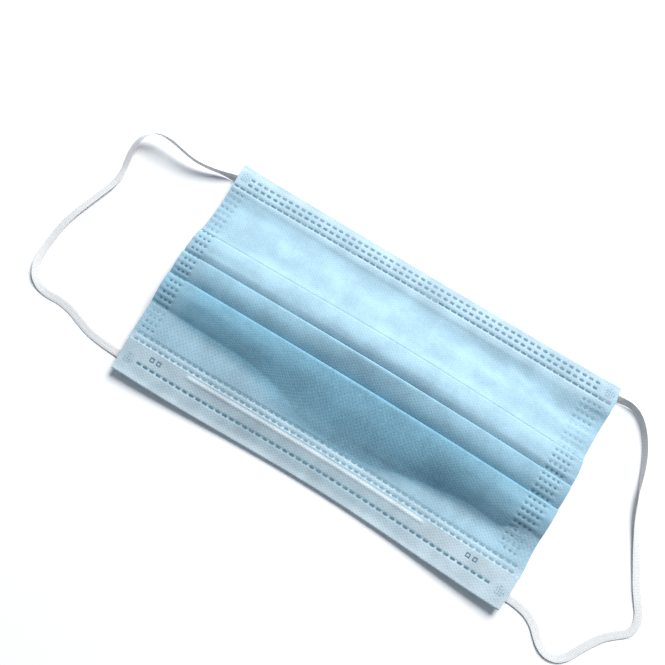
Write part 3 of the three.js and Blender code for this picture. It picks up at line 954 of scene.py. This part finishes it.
def weld_tree():
    """Geometry nodes that set a thin film on every weld point, turned and sized by the point. Made once."""
    label = "Weld films"
    if label in bpy.data.node_groups:
        return bpy.data.node_groups[label]
    tree = bpy.data.node_groups.new(label, "GeometryNodeTree")
    kinds = {"Geometry": "Geometry", "Corner": "Float", "Film": "Float", "Material": "Material"}
    for name, kind in kinds.items():
        tree.interface.new_socket(name, in_out="INPUT", socket_type="NodeSocket" + kind)
    tree.interface.new_socket("Geometry", in_out="OUTPUT", socket_type="NodeSocketGeometry")
    given = node(tree, "NodeGroupInput").outputs
    outline = node(tree, "GeometryNodeCurvePrimitiveQuadrilateral", {"Width": 1.0, "Height": 1.0})
    rounded = node(
        tree, "GeometryNodeFilletCurve",
        {"Curve": outline.outputs["Curve"], "Radius": given["Corner"], "Count": 3, "Limit Radius": True},
        mode="POLY",
    )
    depth = node(tree, "ShaderNodeCombineXYZ", {"Z": given["Film"]})
    rise = node(tree, "GeometryNodeCurvePrimitiveLine", {"End": depth.outputs["Vector"]}, mode="POINTS")
    plate = node(
        tree, "GeometryNodeCurveToMesh",
        {"Curve": rise.outputs["Curve"], "Profile Curve": rounded.outputs["Curve"], "Fill Caps": True},
    )
    outward, along, size = (
        node(tree, "GeometryNodeInputNamedAttribute", {"Name": name}, data_type="FLOAT_VECTOR")
        for name in ("outward", "along", "size")
    )
    turn = node(
        tree, "FunctionNodeAxesToRotation",
        {"Primary Axis": outward.outputs["Attribute"], "Secondary Axis": along.outputs["Attribute"]},
        primary_axis="Z", secondary_axis="X",
    )
    placed = node(
        tree, "GeometryNodeInstanceOnPoints",
        {
            "Points": given["Geometry"], "Instance": plate.outputs["Mesh"],
            "Rotation": turn.outputs["Rotation"], "Scale": size.outputs["Attribute"],
        },
    )
    real = node(tree, "GeometryNodeRealizeInstances", {"Geometry": placed.outputs["Instances"]})
    painted = node(
        tree, "GeometryNodeSetMaterial",
        {"Geometry": real.outputs["Geometry"], "Material": given["Material"]},
    )
    node(tree, "NodeGroupOutput", {"Geometry": painted.outputs["Geometry"]})
    return tree


def weld_films(name, cloth_object, marks, sizes, material):
    """The fused films of these marks, seated on the cloth under them."""
    mesh = cloth_object.data
    points = np.empty(len(mesh.vertices) * 3)
    mesh.vertices.foreach_get("co", points)
    polygons = [tuple(p.vertices) for p in mesh.polygons]
    cloth = BVHTree.FromPolygons(points.reshape(-1, 3).tolist(), polygons)
    places, outward, along, size = [], [], [], []
    for weld in marks:
        x, y = weld["place"]
        hit, normal, _, _ = cloth.ray_cast(Vector((x, y, 0.1)), Vector((0, 0, -1)))
        if hit is None:
            raise RuntimeError(f"{name}: no cloth under the weld at {x:.4f}, {y:.4f}")
        side = Vector((0, 1, 0)).cross(normal).normalized()
        places.append(hit - normal * (sizes.film - sizes.proud))
        outward.append(normal)
        along.append(side)
        size.append((*weld["dash"], 1.0))
    seeds = bpy.data.meshes.new(name + "_points")
    seeds.from_pydata(places, [], [])
    for key, values in (("outward", outward), ("along", along), ("size", size)):
        attribute = seeds.attributes.new(key, "FLOAT_VECTOR", "POINT")
        attribute.data.foreach_set("vector", np.array(values, np.float32).ravel())
    seed_object = bpy.data.objects.new(name + "_points", seeds)
    bpy.context.scene.collection.objects.link(seed_object)
    modifier = seed_object.modifiers.new("Weld films", "NODES")
    modifier.node_group = weld_tree()
    values = {"Corner": sizes.corner, "Film": sizes.film, "Material": material}
    for socket in modifier.node_group.interface.items_tree:
        if socket.name in values:
            modifier[socket.identifier] = values[socket.name]
    graph = bpy.context.evaluated_depsgraph_get()
    films = bpy.data.meshes.new_from_object(seed_object.evaluated_get(graph))
    films.name = name
    bpy.data.objects.remove(seed_object)
    bpy.data.meshes.remove(seeds)
    obj = bpy.data.objects.new(name, films)
    bpy.context.scene.collection.objects.link(obj)
    return obj


# Ear loops

def signed_power(value, power):
    """A power that keeps the sign, to square off a round section."""
    return np.sign(value) * np.abs(value) ** power


def spline_through(points, samples):
    """Evenly spaced points on a centripetal curve through the points and their rolls, and its length."""
    points = np.asarray(points, float)
    ends = [2 * points[0] - points[1], *points, 2 * points[-1] - points[-2]]
    fine = []
    for before, start, end, after in zip(ends, ends[1:], ends[2:], ends[3:]):
        knots = np.array([before, start, end, after])
        first, gap, last = np.linalg.norm(np.diff(knots[:, :3], axis=0), axis=1) ** 0.5
        leave = gap * ((start - before) / first - (end - before) / (first + gap)) + end - start
        arrive = end - start - gap * ((after - start) / (gap + last) - (after - end) / last)
        for t in np.linspace(0, 1, CURVE_STEPS, endpoint=False):
            bend = (2 * start - 2 * end + leave + arrive) * t ** 3
            lean = (-3 * start + 3 * end - 2 * leave - arrive) * t ** 2
            fine.append(start + leave * t + lean + bend)
    fine = np.array([*fine, points[-1]])
    length = np.concatenate([[0], np.cumsum(np.linalg.norm(np.diff(fine[:, :3], axis=0), axis=1))])
    even = np.linspace(0, length[-1], samples)
    path = np.stack([np.interp(even, length, column) for column in fine.T], axis=1)
    return path, length[-1]


def strap_section(sizes, around):
    """Half width and half thickness directions of the strap's ribbed section."""
    angle = np.linspace(0, 2 * math.pi, around, endpoint=False)
    across = signed_power(np.cos(angle), STRAP_SECTION["width_power"]) * sizes.width / 2
    waves = np.cos(across / sizes.width * 2 * math.pi * sizes.wales)
    rib = 1 + STRAP_SECTION["rib"] * (waves - 1)
    through = signed_power(np.sin(angle), STRAP_SECTION["thickness_power"]) * sizes.thickness / 2 * rib
    return across, through


def strap_mesh(name, route, sizes, material):
    """A flat knitted strap along its route, twisted by the route's roll."""
    rings, around = STRAP_GRID
    path, length = spline_through(route, rings)
    centre = path[:, :3]
    roll = np.radians(path[:, 3])
    tangent = np.gradient(centre, axis=0)
    tangent /= np.linalg.norm(tangent, axis=1, keepdims=True)
    side = np.cross(tangent, (0, 0, 1))
    side /= np.linalg.norm(side, axis=1, keepdims=True)
    up = np.cross(side, tangent)
    flat = side * np.cos(roll)[:, None] + up * np.sin(roll)[:, None]
    thin = up * np.cos(roll)[:, None] - side * np.sin(roll)[:, None]
    across, through = strap_section(sizes, around)
    along = np.linspace(0, length, rings)
    wale = across / sizes.width * sizes.wales
    chevron = np.abs(wale - np.floor(wale) - 0.5)
    courses = along[:, None] / sizes.course + chevron[None, :]
    stitch = 1 + STRAP_SECTION["stitch"] * np.cos(2 * math.pi * courses)
    points = (
        centre[:, None]
        + flat[:, None] * across[None, :, None]
        + thin[:, None] * (through[None, :] * stitch)[..., None]
    )
    points[..., 2] -= LOOP_SETTLE
    low = points[..., 2].min(axis=1)
    points[..., 2] += np.maximum(FLOOR_CLEARANCE - low, 0)[:, None]
    faces = tube_faces(rings, around)
    turn = np.linspace(0, 1, around)
    uv = np.stack(np.broadcast_arrays(along[:, None], turn[None, :] * 2 * sizes.width), axis=-1)
    obj = mesh_object(name, points.reshape(-1, 3), faces, [material], uv=uv.reshape(-1, 2))
    return obj, points.mean(axis=1), length


# Materials

def new_material(name):
    """A principled material and its nodes."""
    material = bpy.data.materials.new(name)
    material.use_nodes = True
    return material, material.node_tree


def surface(tree, tint, values, relief=None):
    """Gives a principled material its colour, its other values and its relief."""
    shader = tree.nodes["Principled BSDF"]
    tree.links.new(tint, shader.inputs["Base Color"])
    for key, value in values.items():
        shader.inputs[key].default_value = value
    if relief:
        bump = node(tree, "ShaderNodeBump", relief)
        tree.links.new(bump.outputs["Normal"], shader.inputs["Normal"])


def noise(tree, vector, values, flat=True):
    """Cloudy noise, on the cloth's flat map or through space."""
    made = node(
        tree, "ShaderNodeTexNoise", {"Vector": vector, "Scale": 1.0, **values},
        noise_dimensions="2D" if flat else "3D",
    )
    return made.outputs["Fac"]


def in_space(tree):
    """Coordinates in metres, in the mask's frame."""
    return node(tree, "ShaderNodeTexCoord").outputs["Object"]


def mixed(tree, factor, first, second):
    """Colour between two others."""
    made = node(tree, "ShaderNodeMix", data_type="RGBA")
    for index, value in ((0, factor), (6, first), (7, second)):
        if isinstance(value, bpy.types.NodeSocket):
            tree.links.new(value, made.inputs[index])
        elif index == 0:
            made.inputs[index].default_value = value
        else:
            made.inputs[index].default_value = (*value, 1.0)
    return made.outputs[2]


def ranged(tree, value, low, high, to_low=0.0, to_high=1.0):
    """A value spread over another range, with soft ends."""
    made = node(
        tree, "ShaderNodeMapRange",
        {"Value": value, "From Min": low, "From Max": high, "To Min": to_low, "To Max": to_high},
        interpolation_type="SMOOTHSTEP",
    )
    return made.outputs["Result"]


def scaled(colour, factor):
    """A colour made darker or lighter."""
    return tuple(min(channel * factor, 1.0) for channel in colour)


def on_cloth(tree, scale, turn=0.0):
    """Coordinates on the cloth's own UV map, with `scale` cells to the metre each way."""
    cloth = node(tree, "ShaderNodeUVMap", uv_map="cloth")
    return node(
        tree, "ShaderNodeMapping",
        {"Vector": cloth.outputs["UV"], "Scale": (*scale, 1.0), "Rotation": (0.0, 0.0, turn)},
    ).outputs["Vector"]


def nonwoven(name, thin, dense_and_shade, white_and_highlight, grain=1.0):
    """Point-bonded web of fine fibres: bond points in a slanted lattice, cloudy fibre density, matte."""
    material, tree = new_material(name)
    lattice = node(
        tree, "ShaderNodeTexVoronoi",
        {"Vector": on_cloth(tree, (800.0, 1050.0), math.radians(45)), "Scale": 1.0, "Randomness": 0.2},
        voronoi_dimensions="2D",
    )
    bond = ranged(tree, lattice.outputs["Distance"], 0.16, 0.42, 1.0, 0.0)
    clouds = noise(tree, on_cloth(tree, (80.0, 98.0)), {"Detail": 4.0, "Roughness": 0.62})
    strands = {"Detail": 2.0, "Distortion": 0.8}
    fibres = noise(tree, on_cloth(tree, (700.0, 3200.0), math.radians(24)), strands)
    crossing = noise(tree, on_cloth(tree, (3200.0, 800.0), math.radians(-20)), strands)
    layers_and_shade, pressed, pale = (
        node(tree, "ShaderNodeAttribute", attribute_name=paint).outputs["Fac"]
        for paint in ("layers_and_shade", "pressed", "pale")
    )
    # Darker blue where layers show through, and painted shade towards each panel's crease
    web = mixed(tree, layers_and_shade, thin, dense_and_shade)
    # Whiter where the cloth is pale, much of it painted highlight
    web = mixed(tree, pale, web, white_and_highlight)
    cloudy = ranged(tree, clouds, 0.30, 0.70, 0.90, 1.10)
    web = node(tree, "ShaderNodeVectorMath", {0: web, 3: cloudy}, operation="SCALE").outputs["Vector"]
    threads = node(tree, "ShaderNodeMath", {0: fibres, 1: crossing}, operation="MULTIPLY").outputs["Value"]
    web = mixed(tree, ranged(tree, threads, 0.16, 0.36, 0.0, 0.26 * grain), web, scaled(thin, 1.35))
    web = mixed(tree, ranged(tree, bond, 0.0, 1.0, 0.0, 0.17 * grain), web, scaled(dense_and_shade, 0.72))
    web = mixed(tree, ranged(tree, pressed, 0.0, 1.0, 0.0, 0.20), web, scaled(dense_and_shade, 0.55))
    height = node(
        tree, "ShaderNodeMath", {0: threads, 1: 0.55, 2: ranged(tree, bond, 0.0, 1.0, 0.45, 0.0)},
        operation="MULTIPLY_ADD",
    ).outputs["Value"]
    surface(
        tree, web,
        {"Roughness": 0.78, "Specular IOR Level": 0.28, "Sheen Weight": 0.12, "Sheen Roughness": 0.5},
        {"Strength": 0.4, "Distance": 0.18 * MM, "Height": height},
    )
    return material


def weld_film(name, colour):
    """Cloth fused to a thin smooth film."""
    material, tree = new_material(name)
    uneven = noise(tree, in_space(tree), {"Scale": 900.0, "Detail": 3.0}, flat=False)
    tint = mixed(tree, ranged(tree, uneven, 0.3, 0.7), scaled(colour, 0.8), scaled(colour, 1.3))
    relief = {"Strength": 0.3, "Distance": 0.05 * MM, "Height": uneven}
    surface(tree, tint, {"Roughness": 0.48}, relief)
    return material


def knitted_elastic(name, colour, sizes):
    """White knitted elastic with wales along the strap and small stitches across them."""
    material, tree = new_material(name)
    courses = on_cloth(tree, (1 / sizes.course, 0.0))
    stitches = node(
        tree, "ShaderNodeTexWave",
        {"Vector": courses, "Scale": 3.2 / (2 * math.pi), "Distortion": 0.6},
        wave_type="BANDS", bands_direction="X",
    )
    fuzz = noise(tree, on_cloth(tree, (1400.0, 5200.0)), {"Detail": 3.0})
    shade = node(
        tree, "ShaderNodeMath", {0: stitches.outputs["Fac"], 1: 0.6, 2: fuzz}, operation="MULTIPLY_ADD",
    ).outputs["Value"]
    tint = mixed(tree, ranged(tree, shade, 0.3, 1.2), scaled(colour, 0.82), scaled(colour, 1.06))
    values = {
        "Roughness": 0.8, "Specular IOR Level": 0.3, "Subsurface Weight": 0.6,
        "Subsurface Radius": (1.0, 1.0, 1.0), "Subsurface Scale": sizes.thickness,
    }
    surface(tree, tint, values, {"Strength": 0.5, "Distance": 0.12 * MM, "Height": shade})
    return material


def coated_wire(name, colour):
    """Smooth plastic coat with faint drawing marks."""
    material, tree = new_material(name)
    drawn = node(
        tree, "ShaderNodeMapping", {"Vector": in_space(tree), "Scale": (60.0, 3000.0, 3000.0)},
    )
    marks = noise(tree, drawn.outputs["Vector"], {"Detail": 2.0}, flat=False)
    tint = mixed(tree, marks, scaled(colour, 0.92), scaled(colour, 1.04))
    surface(tree, tint, {"Roughness": 0.42})
    return material


def floor_paper(name, colour):
    """Plain pale floor with a trace of tooth."""
    material, tree = new_material(name)
    tooth = noise(tree, in_space(tree), {"Scale": 120.0, "Detail": 2.0}, flat=False)
    tint = mixed(tree, tooth, scaled(colour, 0.995), scaled(colour, 1.005))
    surface(tree, tint, {"Roughness": 0.9, "Specular IOR Level": 0.1})
    return material


# Operators

def seat(obj, slot, *nodes):
    """Ties a piece to the frame's root body and hides the solids that it stands for; its slot is not used.
    """
    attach(obj, "root")
    if nodes:
        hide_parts(*nodes)
    return obj


def direction(azimuth, elevation):
    """Where something stands, turned from +Y towards +X, and how high."""
    level = math.cos(elevation)
    return Vector((math.sin(azimuth) * level, math.cos(azimuth) * level, math.sin(elevation)))


def place_camera(scene):
    """The photograph's camera, whose azimuth is turned from -Y towards +X."""
    azimuth, elevation, roll = (math.radians(CAMERA[key]) for key in ("azimuth", "elevation", "roll"))
    back = direction(math.pi - azimuth, elevation)
    right = Vector((math.cos(azimuth), math.sin(azimuth), 0.0))
    up = back.cross(right)
    turned_right = right * math.cos(roll) + up * math.sin(roll)
    turned_up = up * math.cos(roll) - right * math.sin(roll)
    axes = Matrix((turned_right, turned_up, back)).transposed().to_4x4()
    place = Vector(CAMERA["target"]) + back * CAMERA["distance"]
    camera = bpy.data.cameras.new("photo_camera")
    camera.sensor_width = 36.0
    camera.lens = camera.sensor_width * CAMERA["focal_widths"]
    camera.clip_start = 0.01
    camera_object = bpy.data.objects.new("photo_camera", camera)
    camera_object.matrix_world = Matrix.Translation(place) @ axes
    scene.collection.objects.link(camera_object)
    scene.camera = camera_object


def place_light(scene, light):
    """The soft key light and the even light from all round."""
    towards = direction(light.key_azimuth, light.key_elevation)
    key = bpy.data.lights.new("key", "AREA")
    key.shape = "DISK"
    key.size = light.key_size
    key.energy = light.key_watts
    key_object = bpy.data.objects.new("key", key)
    key_object.location = towards * KEY_DISTANCE
    key_object.rotation_euler = towards.to_track_quat("Z", "Y").to_euler()
    scene.collection.objects.link(key_object)
    world = bpy.data.worlds.new("studio")
    world.use_nodes = True
    sky = world.node_tree.nodes["Background"]
    sky.inputs["Color"].default_value = (*light.sky_tint, 1.0)
    sky.inputs["Strength"].default_value = light.sky
    scene.world = world


class FACEMASK_OT_stage(bpy.types.Operator):
    """Set the photograph's camera, the floor and the soft light from the chin side"""

    bl_idname = "facemask.stage"
    bl_label = "Stage"

    def execute(self, context):
        scene = context.scene
        place_camera(scene)
        place_light(scene, scene.mask_light)
        corners = ((-1, -1), (1, -1), (1, 1), (-1, 1))
        floor = mesh_object(
            "floor", [(x * FLOOR_REACH, y * FLOOR_REACH, 0.0) for x, y in corners], [(0, 1, 2, 3)],
            [floor_paper("floor_paper", scene.mask_finish.floor)],
        )
        scene.view_settings.view_transform = "Standard"
        return {"FINISHED"}


class FACEMASK_OT_ear_loops(bpy.types.Operator):
    """Lay the two knitted elastic ear loops along their routes"""

    bl_idname = "facemask.ear_loops"
    bl_label = "Ear Loops"

    def execute(self, context):
        sizes = context.scene.mask_loops
        elastic = knitted_elastic("knitted_elastic", context.scene.mask_finish.elastic, sizes)
        for name, route in (("ear_loop_left", LEFT_LOOP), ("ear_loop_right", RIGHT_LOOP)):
            strap, path, length = strap_mesh(name + "_strap", route, sizes, elastic)
            seat(strap, "elastic", name)
        return {"FINISHED"}


def inner_ply(finish):
    """The white ply on the inside, the same for all pieces."""
    made = bpy.data.materials.get("white_nonwoven")
    return made or nonwoven("white_nonwoven", finish.inside, finish.inside, finish.inside, grain=0.5)


def weld_pieces(groups, cloth_object, slot, context):
    """The films of each named group of marks on one piece of cloth."""
    welds, finish = context.scene.mask_welds, context.scene.mask_finish
    films = []
    for name, marks in groups.items():
        label, colour = "deep_weld", finish.weld
        if marks[0]["faint"]:
            label, colour = "faint_weld", finish.weld_faint
        film = bpy.data.materials.get(label) or weld_film(label, colour)
        films.append(seat(weld_films(name, cloth_object, marks, welds, film), slot))
    return films


class FACEMASK_OT_body(bpy.types.Operator):
    """Fold the blue body with its chin hem and pleats, and press its welds"""

    bl_idname = "facemask.body"
    bl_label = "Pleated Body"

    def execute(self, context):
        scene = context.scene
        cloth, finish = scene.mask_cloth, scene.mask_finish
        bow_depth = cloth.nose_bow
        groups = {
            "chin_hem_welds": row_marks("chin", bow_depth),
            "nose_seam_welds": row_marks("seam", bow_depth),
            "pleat_end_welds": column_marks(True, bow_depth),
            "side_edge_welds": column_marks(False, bow_depth),
            "chin_corner_welds": spot_dots(False, bow_depth),
        }
        pressed = [weld for marks in groups.values() for weld in marks] + spot_marks(False, bow_depth)
        grooves = weld_rows("chin", "seam") + column_grooves()
        blue = nonwoven("blue_nonwoven", finish.blue_thin, finish.blue_layers_and_shade, finish.white_and_highlight)
        rows = body_rows(MaskForm(cloth_columns(), cloth))
        plies = [blue, inner_ply(finish)]
        body, run = cloth_wall(
            "pleated_body_cloth", rows, pressed, grooves, scene.mask_welds.recess, plies,
        )
        seat(body, "blue_cloth", "pleated_body")
        films = weld_pieces(groups, body, "blue_cloth", context)
        return {"FINISHED"}


class FACEMASK_OT_nose_hem(bpy.types.Operator):
    """Fold the pale hem over the nose edge, and press its welds"""

    bl_idname = "facemask.nose_hem"
    bl_label = "Nose Hem"

    def execute(self, context):
        scene = context.scene
        cloth, finish = scene.mask_cloth, scene.mask_finish
        bow_depth = cloth.nose_bow
        groups = {
            "nose_hem_welds": row_marks("nose", bow_depth),
            "nose_corner_welds": spot_dots(True, bow_depth),
            "square_weld_points": square_marks(bow_depth),
        }
        pressed = [weld for marks in groups.values() for weld in marks] + spot_marks(True, bow_depth)
        # Its darker colour is painted shade towards the hem's middle; its whiter one holds the painted
        # highlights
        pale = nonwoven("pale_nonwoven", finish.pale, scaled(finish.pale, 0.80), finish.white_and_highlight, grain=0.7)
        rows = hem_rows(MaskForm(cloth_columns(), cloth))
        plies = [pale, inner_ply(finish)]
        hem, run = cloth_wall(
            "nose_hem_cloth", rows, pressed, weld_rows("nose"), scene.mask_welds.recess, plies,
        )
        seat(hem, "pale_cloth", "nose_hem")
        films = weld_pieces(groups, hem, "pale_cloth", context)
        return {"FINISHED"}


class FACEMASK_OT_nose_wire(bpy.types.Operator):
    """Lay the flat coated nose wire between the body and the nose hem"""

    bl_idname = "facemask.nose_wire"
    bl_label = "Nose Wire"

    def execute(self, context):
        cloth = context.scene.mask_cloth
        rings, around = WIRE_GRID
        x = np.linspace(WIRE_START, WIRE_END, rings)
        form = MaskForm(x, cloth)
        angle = np.linspace(0, 2 * math.pi, around, endpoint=False)
        across = signed_power(np.cos(angle), WIRE_POWER) * cloth.wire_width / 2
        through = signed_power(np.sin(angle), WIRE_POWER) * cloth.wire_thickness / 2
        middle = cloth.thickness / 2 + WIRE_CLEARANCE + cloth.wire_thickness / 2
        centre = form.place(np.full_like(x, cloth.wire_y), middle)
        points = np.repeat(centre[:, None], around, axis=1)
        points[..., 1] += across
        points[..., 2] += through
        faces = [face[::-1] for face in tube_faces(rings, around)]
        coat = coated_wire("wire_coat", context.scene.mask_finish.wire)
        wire = mesh_object("nose_wire_strip", points.reshape(-1, 3), faces, [coat])
        seat(wire, "wire_plastic", "nose_wire")
        return {"FINISHED"}


class FACEMASK_PT_panel(bpy.types.Panel):
    """Sizes, colours and pieces of the mask"""

    bl_idname = "FACEMASK_PT_panel"
    bl_label = "Face Mask"
    bl_space_type = "VIEW_3D"
    bl_region_type = "UI"
    bl_category = "Face Mask"

    def draw(self, context):
        column = self.layout.column()
        for operator in OPERATORS:
            column.operator(operator.bl_idname)
        for group in SCENE_GROUPS:
            settings = getattr(context.scene, group)
            for name in settings.__annotations__:
                column.prop(settings, name)


SCENE_GROUPS = {
    "mask_cloth": ClothSizes,
    "mask_welds": WeldSizes,
    "mask_loops": LoopSizes,
    "mask_finish": Finish,
    "mask_light": StageLight,
}
OPERATORS = (
    FACEMASK_OT_stage, FACEMASK_OT_ear_loops, FACEMASK_OT_body, FACEMASK_OT_nose_hem, FACEMASK_OT_nose_wire,
)
CLASSES = (*SCENE_GROUPS.values(), *OPERATORS, FACEMASK_PT_panel)


def register():
    for cls in CLASSES:
        bpy.utils.register_class(cls)
    for name, group in SCENE_GROUPS.items():
        setattr(bpy.types.Scene, name, bpy.props.PointerProperty(type=group))


def unregister():
    for name in SCENE_GROUPS:
        delattr(bpy.types.Scene, name)
    for cls in reversed(CLASSES):
        bpy.utils.unregister_class(cls)


def main():
    register()
    bpy.ops.facemask.stage()
    bpy.ops.facemask.ear_loops()
    bpy.ops.facemask.body()
    bpy.ops.facemask.nose_hem()
    bpy.ops.facemask.nose_wire()


if __name__ == "__main__":
    main()
